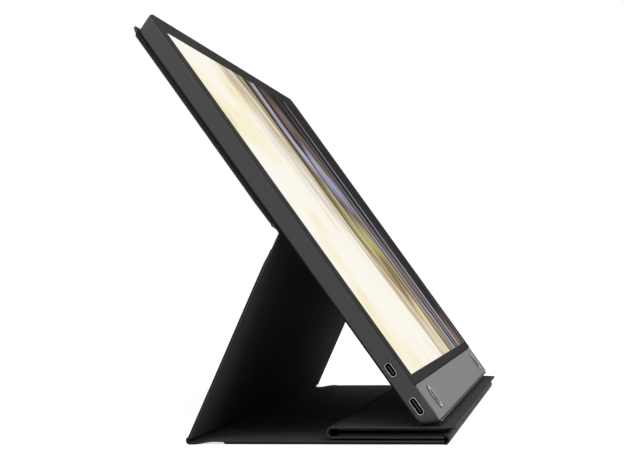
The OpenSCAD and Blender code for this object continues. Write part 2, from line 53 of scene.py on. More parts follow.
# Sizes, in millimetres
TILT = math.radians(54.7)
COS_TILT, SIN_TILT = math.cos(TILT), math.sin(TILT)
PIC_W, PIC_H = 344.2, 193.6
SIDE_BEZEL, TOP_BEZEL, LOW_BEZEL = 7.9, 10.7, 4.9
TRIM_H, CHIN_GAP, CHIN_H = 0.8, 0.3, 18.8
DISP_W = PIC_W + 2 * SIDE_BEZEL
DISP_H = TRIM_H + 2 * CHIN_GAP + CHIN_H + LOW_BEZEL + PIC_H + TOP_BEZEL
DISP_T, GLASS_T, SHELL_T = 9.7, 1.0, 0.8
TOP_SLANT, BOTTOM_SLANT = 2.8, 3.7
CORNER_R, GLASS_INSET = 5.0, 0.3
WALL, LEDGE_W, LEDGE_T = 1.6, 2.2, 0.8
LEDGE_LOW, LEDGE_R = 2.1, 1.0
FRAME_ROUND, GLASS_ROUND = 0.2, 0.3
GLASS_Z = DISP_T - GLASS_T
CHIN_INSET, CHIN_T, CHIN_R = 1.5, 0.8, 0.5
CHIN_Y = TRIM_H + CHIN_GAP
CHIN_FACE = GLASS_Z + CHIN_T
GLASS_Y = CHIN_Y + CHIN_H + CHIN_GAP
PIC_Y = GLASS_Y + LOW_BEZEL
PIC_GAP = 0.012
BUTTON_R, BUTTON_GAP, BUTTON_RISE, BUTTON_X = 6.0, 0.3, 0.45, DISP_W / 2 - 31
BUTTON_Y = CHIN_Y + CHIN_H / 2
BUTTON_RIM, BUTTON_DISH = 0.6, 0.12
# Each socket's height above the display's bottom edge, and the width of its mouth
PORTS = {"usb_c_shell": (12, 8.9), "micro_hdmi_shell": (32, 7.0)}
PORT_Z = DISP_T - 5.6
PORT_H, PORT_WALL, PORT_DEPTH, PORT_GAP = 3.2, 0.22, 7.4, 0.25
PORT_R = PORT_H / 2.2
COVER_W = DISP_W - 2
SKIN, LINING, BOARD = 0.5, 0.5, 1.2
PANEL_T, BORDER_T = SKIN + LINING + BOARD, SKIN + LINING
SIDE_B, END_B, FOLD_B = 2.0, 4.5, 2.2
COVER_R, POCKET_R, LINING_R = 7.0, 0.5, 0.4
POCKET_SLOPE, LINING_SLOPE, LINING_INSET, LINING_PRESS = 1.15, 1.3, 0.4, 0.24
# How far the grid's two outermost rings of points are drawn in, so that the edges are round
LEATHER_RIM, LINING_RIM = (0.17, 0.05), (0.12, 0.03)
# Length and depth of each layer's slow unevenness
LEATHER_RIPPLE, LINING_RIPPLE = (42, 0.10), (55, 0.05)
# A strip's long edges: distance in from the end, and how much thinner each face is there
STRIP_EDGE = ((0.0, 0.13), (0.08, 0.045), (0.22, 0.0))
STRIP_EDGE_W, STRIP_COUNT, PANEL_COUNT = 4, 46, 36
FLOOR_LEN, MIDDLE_LEN, FRONT_LEN, SPINE_W = 103.0, 50.6, 55.3, 13.4
FLOOR_GAP, MIDDLE_GAP, FOLD_T, FOOT_R = 0.6, 1.2, 0.9, 1.9
HINGE_Y, STRIP_LEN, TURN_GAP = 111.5, 5.5, 0.6
HINGE_DEPTH = 0.35 + FOLD_T / 2
UPPER_PAD, UPPER_SHOULDER, LEG_SOFT_END = 0.4, 6.0, 8.0
# Depth below a fold's outside, and places round the foot, given with the two bodies a strip lies between
FOLD_HOLD, FOOT_HOLD_LOW, FOOT_HOLD_OUT, FOOT_HOLD_UP = 0.35, 1.4, 1.5, 0.2
LEG_FACE = FOLD_T / 2 - 0.15
UPPER_0, UPPER_1 = HINGE_Y + STRIP_LEN, DISP_H + 0.7
MIDDLE_Z = PANEL_T + FLOOR_GAP
STACK = MIDDLE_Z + 2 * PANEL_T + MIDDLE_GAP


def joint_place(name):
    """A joint's place in the section across the folds, (y, z) in millimetres."""
    joint = next(j for j in frame["joints"] if j["name"] == name)
    return [v / MM for v in joint["pos_m"]][1:]


FOOT = joint_place("stand_fold")
HINGE = joint_place("display_fold")
FRONT_AX = joint_place("flap_fold")
REAR_AX = joint_place("lip_fold")
DISP_Y = HINGE[0] - HINGE_Y * COS_TILT - HINGE_DEPTH * SIN_TILT
DISP_Z = HINGE[1] - HINGE_Y * SIN_TILT + HINGE_DEPTH * COS_TILT
LEG_LEN = math.hypot(HINGE[0] - FOOT[0], HINGE[1] - FOOT[1])
LEG_A = math.atan2(HINGE[1] - FOOT[1], FOOT[0] - HINGE[0])
LEG_DIR = np.array([-math.cos(LEG_A), math.sin(LEG_A)])
LEG_OUT = np.array([math.sin(LEG_A), math.cos(LEG_A)])


# Places
def turned(points, angle, y, z):
    p = np.asarray(points, float).reshape(-1, 3)
    c, s = math.cos(angle), math.sin(angle)
    return np.c_[p[:, 0], y + p[:, 1] * c - p[:, 2] * s, z + p[:, 1] * s + p[:, 2] * c]


def on_display(points):
    return turned(points, TILT, DISP_Y, DISP_Z)


def on_leg(points):
    points = np.asarray(points, float).reshape(-1, 3) + (0, 0, LEG_FACE)
    return turned(points, math.pi - LEG_A, FOOT[0], FOOT[1])


def on_floor(points):
    return turned(points, 0, 0, PANEL_T)


def on_middle(points):
    return turned(points, math.pi, FRONT_AX[0], MIDDLE_Z)


def on_front(points):
    return turned(points, 0, REAR_AX[0], STACK)


def as_is(points):
    return np.asarray(points, float).reshape(-1, 3)


def port_place(height):
    """Outline x runs up the screen, y across the thickness, z goes inwards from the left side."""
    def place(points):
        p = np.asarray(points, float).reshape(-1, 3)
        return on_display(np.c_[-DISP_W / 2 + p[:, 2], height + p[:, 0], PORT_Z + p[:, 1]])
    return place


def button_place(side, z):
    """About the axis of the left (-1) or right (1) button, from the height z in the display."""
    def place(points):
        return on_display(np.asarray(points) + np.array([side * BUTTON_X, BUTTON_Y, z]))
    return place


# Meshes
def smooth(obj, sharp):
    mesh = obj.data
    mesh.polygons.foreach_set("use_smooth", [True] * len(mesh.polygons))
    mesh.set_sharp_from_angle(angle=math.radians(sharp))
    mesh.update()


def make(name, verts, faces, place, sharp, uv=None):
    mesh = bpy.data.meshes.new(name)
    mesh.from_pydata((place(verts) * MM).tolist(), [], faces)
    mesh.update()
    bm = bmesh.new()
    bm.from_mesh(mesh)
    bmesh.ops.recalc_face_normals(bm, faces=bm.faces)
    bm.to_mesh(mesh)
    bm.free()
    obj = bpy.data.objects.new(name, mesh)
    bpy.context.scene.collection.objects.link(obj)
    if uv is not None:
        layer = mesh.uv_layers.new(name="UVMap")
        corners = np.zeros(len(mesh.loops), int)
        mesh.loops.foreach_get("vertex_index", corners)
        layer.data.foreach_set("uv", np.asarray(uv, float)[corners].ravel())
    smooth(obj, sharp)
    return obj


def settle(obj):
    """Applies an object's modifiers to its mesh."""
    graph = bpy.context.evaluated_depsgraph_get()
    graph.update()
    mesh = bpy.data.meshes.new_from_object(obj.evaluated_get(graph))
    old = obj.data
    obj.modifiers.clear()
    obj.data = mesh
    bpy.data.meshes.remove(old)
    return obj


def weighted(obj):
    modifier = obj.modifiers.new("weighted", "WEIGHTED_NORMAL")
    modifier.keep_sharp = True
    modifier.weight = 100
    return settle(obj)


def cut(obj, cutters):
    for cutter in cutters:
        modifier = obj.modifiers.new("cut", "BOOLEAN")
        modifier.operation = "DIFFERENCE"
        modifier.solver = "EXACT"
        modifier.object = cutter
    settle(obj)
    for cutter in cutters:
        mesh = cutter.data
        bpy.data.objects.remove(cutter)
        bpy.data.meshes.remove(mesh)


def lofted(name, loops, place, sharp, closed=False, uv=None):
    """Rings of points with the same count, skinned in order. Closed joins the last ring to the
    first; otherwise a cap closes each end, and the two caps are the last faces."""
    rows, n = len(loops), len(loops[0])
    faces = []
    for i in range(rows if closed else rows - 1):
        a, b = i * n, ((i + 1) % rows) * n
        for j in range(n):
            k = (j + 1) % n
            faces.append((a + j, a + k, b + k, b + j))
    if not closed:
        faces.append(tuple(range(n))[::-1])
        faces.append(tuple((rows - 1) * n + j for j in range(n)))
    verts = np.concatenate([np.asarray(loop, float) for loop in loops])
    return make(name, verts, faces, place, sharp, uv)


def lathe(name, profile, place, sharp, n=128):
    """Turned piece about local z. UV: angle, and length along the profile in centimetres."""
    profile = np.asarray(profile, float)
    length = np.r_[0, np.cumsum(np.hypot(*np.diff(profile, axis=0).T))]
    loops, uv = [], []
    for (r, z), along in zip(profile, length):
        r = max(r, 1e-4)
        angles = [2 * math.pi * j / n for j in range(n)]
        loops.append([(r * math.cos(a), r * math.sin(a), z) for a in angles])
        uv += [(j / n, along * 0.1) for j in range(n)]
    return lofted(name, loops, place, sharp, uv=uv)


def sheet(name, X, Y, top, bottom, place, sharp, uv=None):
    """A closed sheet between two surfaces over one grid, and its number of rim faces, which are
    its last ones."""
    rows, cols = X.shape
    plane, faces = rows * cols, []
    for j in range(rows - 1):
        for i in range(cols - 1):
            p = j * cols + i
            faces.append((p, p + 1, p + cols + 1, p + cols))
            faces.append((plane + p, plane + p + cols, plane + p + cols + 1, plane + p + 1))
    rim = [i for i in range(cols - 1)] + [cols - 1 + j * cols for j in range(rows - 1)]
    rim += [(rows - 1) * cols + i for i in range(cols - 1, 0, -1)]
    rim += [j * cols for j in range(rows - 1, 0, -1)]
    for p, q in zip(rim, rim[1:] + rim[:1]):
        faces.append((p, plane + p, plane + q, q))
    verts = np.r_[np.c_[X.ravel(), Y.ravel(), top.ravel()],
                  np.c_[X.ravel(), Y.ravel(), bottom.ravel()]]
    return make(name, verts, faces, place, sharp, uv), len(rim)


def round_outline(half_w, y0, y1, radii, z, n):
    """Closed loop with four round corners: lower right, upper right, upper left, lower left."""
    points = []
    corners = [(half_w, y0, -90), (half_w, y1, 0), (-half_w, y1, 90), (-half_w, y0, 180)]
    for (corner_x, corner_y, start), r in zip(corners, radii):
        r = max(r, 0.02)
        x = corner_x - math.copysign(r, corner_x)
        y = corner_y + r if corner_y == y0 else corner_y - r
        for i in range(n + 1):
            a = math.radians(start + 90 * i / n)
            points.append((x + r * math.cos(a), y + r * math.sin(a), z))
    return points


def slot_outline(w, h, r, z):
    """Port outline in its own plane, long side along x."""
    return round_outline(w / 2, -h / 2, h / 2, [r] * 4, z, 8)


def rounded_edge(top, r):
    """Heights and insets of a quarter round of radius r that ends at the height top."""
    return [(top - r + r * math.sin(a), r - r * math.cos(a))
            for a in (math.pi / 6, math.pi / 3, math.pi / 2)]


# Shader building
def material(name):
    mat = bpy.data.materials.new(name)
    mat.use_nodes = True
    tree = mat.node_tree
    tree.nodes.clear()
    out = tree.nodes.new("ShaderNodeOutputMaterial")
    shader = tree.nodes.new("ShaderNodeBsdfPrincipled")
    tree.links.new(shader.outputs[0], out.inputs[0])
    coords = tree.nodes.new("ShaderNodeTexCoord")
    return mat, tree, shader, coords


def node(tree, kind, **values):
    """A new node; a value sets the socket of that name, or else the node's own setting."""
    new = tree.nodes.new(kind)
    for key, value in values.items():
        if key in new.inputs:
            new.inputs[key].default_value = value
        else:
            setattr(new, key, value)
    return new


def set_sockets(shader, **values):
    """Constants on the shader's own sockets, with _ for each space in a socket's name."""
    for key, value in values.items():
        shader.inputs[key.replace("_", " ")].default_value = value


def noise_tex(tree, coords, scale, detail=4, rough=0.55, stretch=None):
    source = coords.outputs["Object"]
    if stretch:
        mapping = node(tree, "ShaderNodeMapping", Scale=stretch)
        tree.links.new(source, mapping.inputs[0])
        source = mapping.outputs[0]
    tex = node(tree, "ShaderNodeTexNoise", Scale=scale, Detail=detail, Roughness=rough)
    tree.links.new(source, tex.inputs["Vector"])
    return tex


def ramp(tree, source, stops):
    new = node(tree, "ShaderNodeValToRGB")
    elements = new.color_ramp.elements
    while len(elements) > 1:
        elements.remove(elements[-1])
    elements[0].position, elements[0].color = stops[0][0], (*stops[0][1], 1)
    for position, colour in stops[1:]:
        elements.new(position).color = (*colour, 1)
    tree.links.new(source, new.inputs[0])
    return new.outputs[0]


def vary(tree, socket, source, low, high):
    """Drives a socket from low to high, over the middle of what a noise gives."""
    tree.links.new(ramp(tree, source, [(0.3, low), (0.7, high)]), socket)


def maths(tree, operation, *values):
    """The result of a math node; each value is a number or a socket."""
    new = node(tree, "ShaderNodeMath", operation=operation)
    for socket, value in zip(new.inputs, values):
        if isinstance(value, (int, float)):
            socket.default_value = value
        else:
            tree.links.new(value, socket)
    return new.outputs[0]


def mixed(tree, blend, factor, a, b):
    """The result of mixing two colour sockets; the factor is a number or a socket."""
    new = node(tree, "ShaderNodeMix", data_type="RGBA", blend_type=blend)
    if isinstance(factor, float):
        new.inputs["Factor"].default_value = factor
    else:
        tree.links.new(factor, new.inputs["Factor"])
    tree.links.new(a, new.inputs["A"])
    tree.links.new(b, new.inputs["B"])
    return new.outputs["Result"]


def grey(v):
    return (v, v, v)


def scaled(colour, factor):
    return tuple(c * factor for c in colour)


def bump(tree, shader, heights):
    """Chains bumps: (height socket, strength, distance in metres)."""
    last = None
    for height, strength, distance in heights:
        new = node(tree, "ShaderNodeBump", Strength=strength, Distance=distance)
        tree.links.new(height, new.inputs["Height"])
        if last:
            tree.links.new(last.outputs[0], new.inputs["Normal"])
        last = new
    tree.links.new(last.outputs[0], shader.inputs["Normal"])


# Materials
def leather(name, base=0.010, lift=0.009):
    mat, tree, shader, coords = material(name)
    broad = noise_tex(tree, coords, 22, 5, 0.6)
    fine = noise_tex(tree, coords, 900, 3, 0.6)
    share = maths(tree, "MULTIPLY", broad.outputs["Fac"], 0.4)
    tone = maths(tree, "MULTIPLY_ADD", fine.outputs["Fac"], 0.6, share)
    light = base + lift
    vary(tree, shader.inputs["Base Color"], tone, grey(base * 0.72), (light, light, light * 1.03))
    vary(tree, shader.inputs["Roughness"], broad.outputs["Fac"], grey(0.55), grey(0.7))
    # The grain is a field of cells, pushed about a little
    warp = noise_tex(tree, coords, 260, 2, 0.5)
    pushed = node(tree, "ShaderNodeVectorMath", operation="MULTIPLY_ADD")
    pushed.inputs[1].default_value = grey(0.0011)
    tree.links.new(warp.outputs["Color"], pushed.inputs[0])
    tree.links.new(coords.outputs["Object"], pushed.inputs[2])
    cells = node(tree, "ShaderNodeTexVoronoi", Scale=1500, feature="SMOOTH_F1")
    tree.links.new(pushed.outputs[0], cells.inputs["Vector"])
    set_sockets(shader, Specular_IOR_Level=0.08)
    soft = noise_tex(tree, coords, 60, 4, 0.55)
    bump(tree, shader, [(soft.outputs["Fac"], 0.35, 0.0007), (cells.outputs["Distance"], 0.5, 0.00012),
                        (fine.outputs["Fac"], 0.25, 0.00006)])
    return mat


def microfibre(name, base=0.021, lift=0.016):
    mat, tree, shader, coords = material(name)
    fibre = noise_tex(tree, coords, 1400, 5, 0.7, stretch=(0.45, 1, 1))
    nap = noise_tex(tree, coords, 16, 4, 0.6)
    tone = ramp(tree, fibre.outputs["Fac"], [(0.32, grey(base * 0.6)), (0.68, grey(base + lift))])
    shade = ramp(tree, nap.outputs["Fac"], [(0.35, grey(0.62)), (0.65, (1.0, 1.0, 1.02))])
    tree.links.new(mixed(tree, "MULTIPLY", 0.5, tone, shade), shader.inputs["Base Color"])
    set_sockets(shader, Roughness=0.86, Specular_IOR_Level=0.04, Sheen_Weight=0.04, Sheen_Roughness=0.45)
    bump(tree, shader, [(nap.outputs["Fac"], 0.2, 0.0006), (fibre.outputs["Fac"], 0.6, 0.00012)])
    return mat


def coated_metal(name, base, rough, metallic):
    mat, tree, shader, coords = material(name)
    grain = noise_tex(tree, coords, 5200, 3, 0.65)
    blotch = noise_tex(tree, coords, 14, 4, 0.6)
    vary(tree, shader.inputs["Base Color"], grain.outputs["Fac"], scaled(base, 0.96), scaled(base, 1.04))
    vary(tree, shader.inputs["Roughness"], blotch.outputs["Fac"], grey(rough - 0.05), grey(rough + 0.07))
    set_sockets(shader, Metallic=metallic, Specular_IOR_Level=0.3)
    bump(tree, shader, [(grain.outputs["Fac"], 0.25, 0.000008)])
    return mat


def satin_metal(name, base, rough, metallic=1.0, tint=1.0):
    """Finely brushed along x; tint is the level of its reflection at the edges."""
    mat, tree, shader, coords = material(name)
    brush = noise_tex(tree, coords, 2600, 3, 0.6, stretch=(0.02, 1, 1))
    grain = noise_tex(tree, coords, 6500, 2, 0.6)
    vary(tree, shader.inputs["Base Color"], brush.outputs["Fac"], grey(base * 0.9),
         (base * 1.08, base * 1.08, base * 1.09))
    vary(tree, shader.inputs["Roughness"], grain.outputs["Fac"], grey(rough - 0.04), grey(rough + 0.06))
    set_sockets(shader, Metallic=metallic, Specular_Tint=(*grey(tint), 1))
    bump(tree, shader, [(brush.outputs["Fac"], 0.15, 0.00002), (grain.outputs["Fac"], 0.2, 0.00002)])
    return mat


def spun_metal(name, base, rough):
    """Turned face: fine rings along the profile's length, from the lathe's UV."""
    mat, tree, shader, coords = material(name)
    parts = node(tree, "ShaderNodeSeparateXYZ")
    tree.links.new(coords.outputs["UV"], parts.inputs[0])
    along = node(tree, "ShaderNodeCombineXYZ")
    tree.links.new(parts.outputs["Y"], along.inputs["X"])
    rings = node(tree, "ShaderNodeTexNoise", Scale=90, Detail=3, Roughness=0.7)
    tree.links.new(along.outputs[0], rings.inputs["Vector"])
    vary(tree, shader.inputs["Base Color"], rings.outputs["Fac"], grey(base * 0.82), grey(base * 1.12))
    set_sockets(shader, Metallic=0.9, Roughness=rough, Specular_Tint=(*grey(0.8), 1),
                Anisotropic=0.6, Anisotropic_Rotation=0.25)
    around = node(tree, "ShaderNodeTangent", direction_type="UV_MAP")
    tree.links.new(around.outputs[0], shader.inputs["Tangent"])
    bump(tree, shader, [(rings.outputs["Fac"], 0.12, 0.00001)])
    return mat


def plastic(name, base, rough, grain=3200, depth=0.00004, gloss=0.4):
    mat, tree, shader, coords = material(name)
    texture = noise_tex(tree, coords, grain, 3, 0.6)
    blotch = noise_tex(tree, coords, 18, 4, 0.6)
    vary(tree, shader.inputs["Base Color"], blotch.outputs["Fac"], scaled(base, 0.9), scaled(base, 1.12))
    vary(tree, shader.inputs["Roughness"], texture.outputs["Fac"], grey(max(rough - 0.06, 0.05)),
         grey(rough + 0.06))
    set_sockets(shader, Specular_IOR_Level=gloss)
    bump(tree, shader, [(texture.outputs["Fac"], 0.4, depth)])
    return mat


def bezel_glass(name):
    mat, tree, shader, coords = material(name)
    dust = noise_tex(tree, coords, 3000, 2, 0.5)
    smear = noise_tex(tree, coords, 20, 4, 0.6)
    vary(tree, shader.inputs["Base Color"], smear.outputs["Fac"], (0.038, 0.038, 0.039), grey(0.043))
    vary(tree, shader.inputs["Roughness"], smear.outputs["Fac"], grey(0.30), grey(0.38))
    set_sockets(shader, Specular_IOR_Level=0.0)
    bump(tree, shader, [(dust.outputs["Fac"], 0.1, 0.00001)])
    return mat


def picture(name):
    """A generic lit picture: pale soft clouds on one side, and on the other leaning streaks in
    brown, olive and lavender."""
    mat, tree, shader, coords = material(name)
    link = tree.links.new

    def streaks(turn, across, along, detail):
        mapping = node(tree, "ShaderNodeMapping", Rotation=(0, 0, math.radians(turn)),
                       Scale=(across, along, 1))
        link(wide.outputs[0], mapping.inputs[0])
        tex = node(tree, "ShaderNodeTexNoise", Scale=1.0, Detail=detail, Roughness=0.5)
        link(mapping.outputs[0], tex.inputs["Vector"])
        return tex.outputs["Fac"]

    wide = node(tree, "ShaderNodeMapping", Scale=(PIC_W / PIC_H, 1, 1))
    link(coords.outputs["UV"], wide.inputs[0])
    place = node(tree, "ShaderNodeSeparateXYZ")
    link(wide.outputs[0], place.inputs[0])
    # Across the streaks, which lean away from the pale side towards the top
    lean = maths(tree, "MULTIPLY_ADD", place.outputs["Y"], 0.42, place.outputs["X"])
    across = maths(tree, "MULTIPLY_ADD", streaks(-26, 3.0, 1.3, 4), 0.75, lean)
    # The ramp of colours runs over the whole width
    whole = maths(tree, "MULTIPLY_ADD", across, 0.46, 0.06)
    colours = ramp(tree, whole, [
        (0.50, (0.95, 0.92, 0.84)), (0.62, (0.94, 0.90, 0.80)), (0.68, (0.55, 0.46, 0.38)),
        (0.72, (0.80, 0.72, 0.58)), (0.76, (0.24, 0.18, 0.14)), (0.80, (0.50, 0.46, 0.20)),
        (0.84, (0.16, 0.12, 0.09)), (0.88, (0.42, 0.42, 0.62)), (0.91, (0.10, 0.08, 0.08)),
        (0.95, (0.20, 0.15, 0.12)), (1.00, (0.02, 0.018, 0.02)),
    ])
    # Pale clouds: yellow and rose on cream
    clouds = ramp(tree, streaks(35, 1.7, 2.3, 3), [
        (0.30, (0.70, 0.60, 0.46)), (0.40, (0.97, 0.91, 0.66)), (0.48, grey(1.0)),
        (0.58, grey(1.0)), (0.66, (0.92, 0.78, 0.70)), (0.76, (0.62, 0.50, 0.42)),
    ])
    clouded = mixed(tree, "MULTIPLY", 0.8, colours, clouds)
    # Thin straight strokes, dark and light, towards the far side
    far = node(tree, "ShaderNodeMapRange")
    for key, value in (("From Min", 0.75), ("From Max", 1.15), ("To Min", 0.0), ("To Max", 1.0)):
        far.inputs[key].default_value = value
    link(lean, far.inputs["Value"])
    dark = ramp(tree, streaks(-17, 26, 0.5, 1), [(0.36, grey(0.12)), (0.42, grey(1.0))])
    stroked = mixed(tree, "MULTIPLY", far.outputs[0], clouded, dark)
    light = ramp(tree, streaks(-24, 19, 0.4, 1), [(0.62, grey(0.0)), (0.70, (0.34, 0.33, 0.42))])
    lit = mixed(tree, "ADD", maths(tree, "MULTIPLY", far.outputs[0], 0.9), stroked, light)
    link(lit, shader.inputs["Emission Color"])
    set_sockets(shader, Emission_Strength=1.0, Base_Color=(*grey(0.012), 1), Roughness=0.32,
                Specular_IOR_Level=0.0)
    return mat


MATERIALS = {name: maker(name, *values) for name, maker, *values in (
    ("leather", leather),
    # The paler edge colours also make the painted highlight on the upper pocket's sides
    ("leather_edge", leather, 0.042, 0.022),
    ("lining", microfibre),
    ("lining_edge", microfibre, 0.050, 0.030),
    ("frame", coated_metal, (0.040, 0.0402, 0.041), 0.5, 0.2),
    ("chin", satin_metal, 0.21, 0.5, 0.7, 0.35),
    ("trim", satin_metal, 0.30, 0.34, 0.9, 0.7),
    ("button", spun_metal, 0.5, 0.26),
    ("shell", plastic, (0.008, 0.008, 0.009), 0.6, 2600, 0.00006, 0.1),
    ("glass", bezel_glass),
    ("picture", picture),
    ("port", satin_metal, 0.50, 0.28),
    ("port_inside", plastic, grey(0.006), 0.7, 1800, 0.00003, 0.05),
    # Black of the buttons' skirts: painted shade on their side walls
    ("skirt", plastic, grey(0.004), 0.6, 2200, 0.00003, 0.05),
    ("tongue", plastic, grey(0.008), 0.5),
    ("board", plastic, (0.02, 0.10, 0.045), 0.4, 900, 0.00003),
    ("steel", satin_metal, 0.5, 0.32),
    ("fibre_board", plastic, (0.05, 0.043, 0.035), 0.85, 700, 0.0002, 0.2),
    ("clear", plastic, (0.75, 0.77, 0.8), 0.3, 1200, 0.00002),
    ("amber", plastic, (0.5, 0.22, 0.04), 0.4, 1200, 0.00002),
    ("ivory", plastic, (0.7, 0.66, 0.55), 0.5, 1200, 0.00002),
    ("switch", plastic, (0.02, 0.02, 0.022), 0.5),
)}

# What each solid that is carried over is made of
CARRIED_OVER = {
    "shell": ["rear_shell"],
    "clear": ["glass_bond", "display_cell", "light_guide"],
    "ivory": ["lamp_bar", "left_plunger", "right_plunger"],
    "steel": ["panel_tray", "board_screws", "shell_magnets", "cover_discs"],
    "board": ["main_board", "left_button_board", "right_button_board"],
    "tongue": ["usb_c_tongue", "micro_hdmi_tongue"],
    "amber": ["panel_ribbon"],
    "switch": ["left_switch", "right_switch"],
    "fibre_board": ["upper_stiffener", "leg_stiffener", "floor_stiffener", "middle_stiffener",
                    "front_stiffener"],
}


def paint(obj, key):
    obj.data.materials.clear()
    obj.data.materials.append(MATERIALS[key])


for key, names in CARRIED_OVER.items():
    for name in names:
        solid = frame["nodes"][name]
        for i in range(len(solid.data.materials)):
            solid.data.materials[i] = MATERIALS[key]
        if not solid.data.materials:
            solid.data.materials.append(MATERIALS[key])


def edged(obj, key, count):
    """The last faces of a cover piece are its cut edge, in the same material a little paler."""
    paint(obj, key)
    obj.data.materials.append(MATERIALS[key + "_edge"])
    for face in obj.data.polygons[-count:]:
        face.material_index = 1
    return obj


def paint_pocket_light_and_shade(obj):
    """The pocket's sides, which face the side lamp, take the paler edge colour as a painted highlight, and
    the border's edge stays black as painted shade under the display.
    """
    steep, border = 0.25, (COVER_W / 2 - SIDE_B * 0.4) * MM
    for face in obj.data.polygons:
        side = abs(face.normal.x) > steep
        inner = abs(face.center.x) < border
        face.material_index = 1 if side and inner else 0


def piece(obj, key, body, replaced):
    """Attaches a piece to the one body it rides, and hides the part it replaces. It is painted already
    where key is None.
    """
    if key:
        paint(obj, key)
    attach(obj, body)
    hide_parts(replaced)


# Display
def frame_ring(z, inset):
    """The frame's outline at a height. Its lower and upper ends slant in towards the back."""
    t = max(0.0, min(1.0, (GLASS_Z - z) / (GLASS_Z - SHELL_T)))
    y0, y1 = BOTTOM_SLANT * t, DISP_H - TOP_SLANT * t
    r = max(CORNER_R - inset, 0.6)
    return round_outline(DISP_W / 2 - inset, y0 + inset, y1 - inset, [r] * 4, z, 12)


def port_cutter(height, w):
    """The opening for a socket, wider at its mouth."""
    flare = ((-0.5, 0.9), (0.0, 0.3), (0.08, 0.12), (0.2, 0.0), (WALL + 1.5, 0.0))
    rings = [slot_outline(w + 2 * PORT_GAP + g, PORT_H + 2 * PORT_GAP + g, PORT_R + PORT_GAP + g / 2, z)
             for z, g in flare]
    return lofted("cutter", rings, port_place(height), 60)


def side_frame():
    # Up the outside from the rear shell, each a height and an inset
    stations = [(SHELL_T, WALL), (SHELL_T, 0.5), (SHELL_T, 0.25), (SHELL_T + 0.07, 0.07),
                (SHELL_T + 0.25, 0.0), (SHELL_T + 0.5, 0.0), (GLASS_Z - 0.5, 0.0),
                (GLASS_Z - FRAME_ROUND, 0.0)]
    stations += rounded_edge(GLASS_Z, FRAME_ROUND)
    stations += [(GLASS_Z, FRAME_ROUND + 0.2), (GLASS_Z, WALL + 0.4)]
    loops = [frame_ring(z, inset) for z, inset in stations]
    # The ledge, then down inside the wall
    inside = WALL + LEDGE_W
    loops += [round_outline(DISP_W / 2 - inside, LEDGE_LOW, DISP_H - inside, [LEDGE_R] * 4, z, 12)
              for z in (GLASS_Z, GLASS_Z - LEDGE_T)]
    loops.append(frame_ring(GLASS_Z - LEDGE_T, WALL))
    obj = lofted("side_frame_dressed", loops, on_display, 50, closed=True)
    cut(obj, [port_cutter(*sizes) for sizes in PORTS.values()])
    smooth(obj, 50)
    weighted(obj)
    # The face under the glass and the chin shows only in the gaps between them, and is painted black as
    # painted shade in those gaps
    paint(obj, "frame")
    obj.data.materials.append(MATERIALS["shell"])
    screen_normal, facing = Vector((0, -SIN_TILT, COS_TILT)), 0.95
    for face in obj.data.polygons:
        if face.normal.dot(screen_normal) > facing:
            face.material_index = 1
    piece(obj, None, "display", "side_frame")


def port(name, height, w):
    """Drawn metal shell with a rolled lip, and the dark insulator inside it."""
    t, deep, h = PORT_WALL, PORT_DEPTH, PORT_H
    lip = ((0.02, 0.07), (0.05, 0.02), (0.12, 0.0), (0.3, 0.0))
    back = [slot_outline(0.6, 0.2, 0.08, z) for z in (deep - 0.4, deep)]
    loops = [slot_outline(w - 2 * g, h - 2 * g, PORT_R - g, z) for z, g in ((deep, 0.0), *lip[::-1])]
    loops += [slot_outline(w - 2 * t + 2 * g, h - 2 * t + 2 * g, PORT_R - t + g, z)
              for z, g in (*lip, (deep - 0.4, 0.0))]
    obj = lofted(name + "_dressed", loops + back, port_place(height), 50, closed=True)
    piece(weighted(obj), "port", "display", name)
    rings = ((deep - 0.45, 0.0), (0.34, 0.0), (0.28, 0.03), (0.28, 0.09), (deep - 0.6, 0.12))
    back = [slot_outline(0.6, 0.2, 0.08, z) for z in (deep - 0.6, deep - 0.45)]
    loops = [slot_outline(w - 2 * t - 2 * g, h - 2 * t - 2 * g, PORT_R - t - g, z) for z, g in rings]
    obj = lofted(name + "_inside", loops + back, port_place(height), 50, closed=True)
    piece(obj, "port_inside", "display", name)


def front_border():
    half_w, y0, y1 = DISP_W / 2 - GLASS_INSET, GLASS_Y, DISP_H - GLASS_INSET

    def ring(z, inset):
        radii = [max(r - inset, 0.1) for r in (0.4, CORNER_R, CORNER_R, 0.4)]
        return round_outline(half_w - inset, y0 + inset, y1 - inset, radii, z, 12)

    def window(z, grow):
        return round_outline(PIC_W / 2 + grow, PIC_Y - grow, PIC_Y + PIC_H + grow, [0.03] * 4, z, 12)

    stations = [(GLASS_Z, 0.0), (GLASS_Z + 0.3, 0.0), (DISP_T - GLASS_ROUND, 0.0)]
    stations += rounded_edge(DISP_T, GLASS_ROUND)
    stations += [(DISP_T, GLASS_ROUND + 0.15), (DISP_T, 2.0)]
    loops = [ring(z, inset) for z, inset in stations]
    loops += [window(DISP_T, PIC_GAP + 0.5), window(DISP_T, PIC_GAP), window(GLASS_Z, PIC_GAP)]
    obj = lofted("glass_border", loops, on_display, 40, closed=True)
    piece(weighted(obj), "glass", "display", "front_glass")


def picture_plate():
    across, up = 24, 14
    U, V = np.meshgrid(np.arange(across + 1) / across, np.arange(up + 1) / up)
    X = -PIC_W / 2 + PIC_W * U
    Y = PIC_Y + PIC_H * V
    uv = np.tile(np.c_[U.ravel(), V.ravel()], (2, 1))
    face, back = np.full(X.shape, DISP_T), np.full(X.shape, GLASS_Z)
    obj, _ = sheet("glass_picture", X, Y, face, back, on_display, 40, uv)
    piece(obj, "picture", "display", "front_glass")


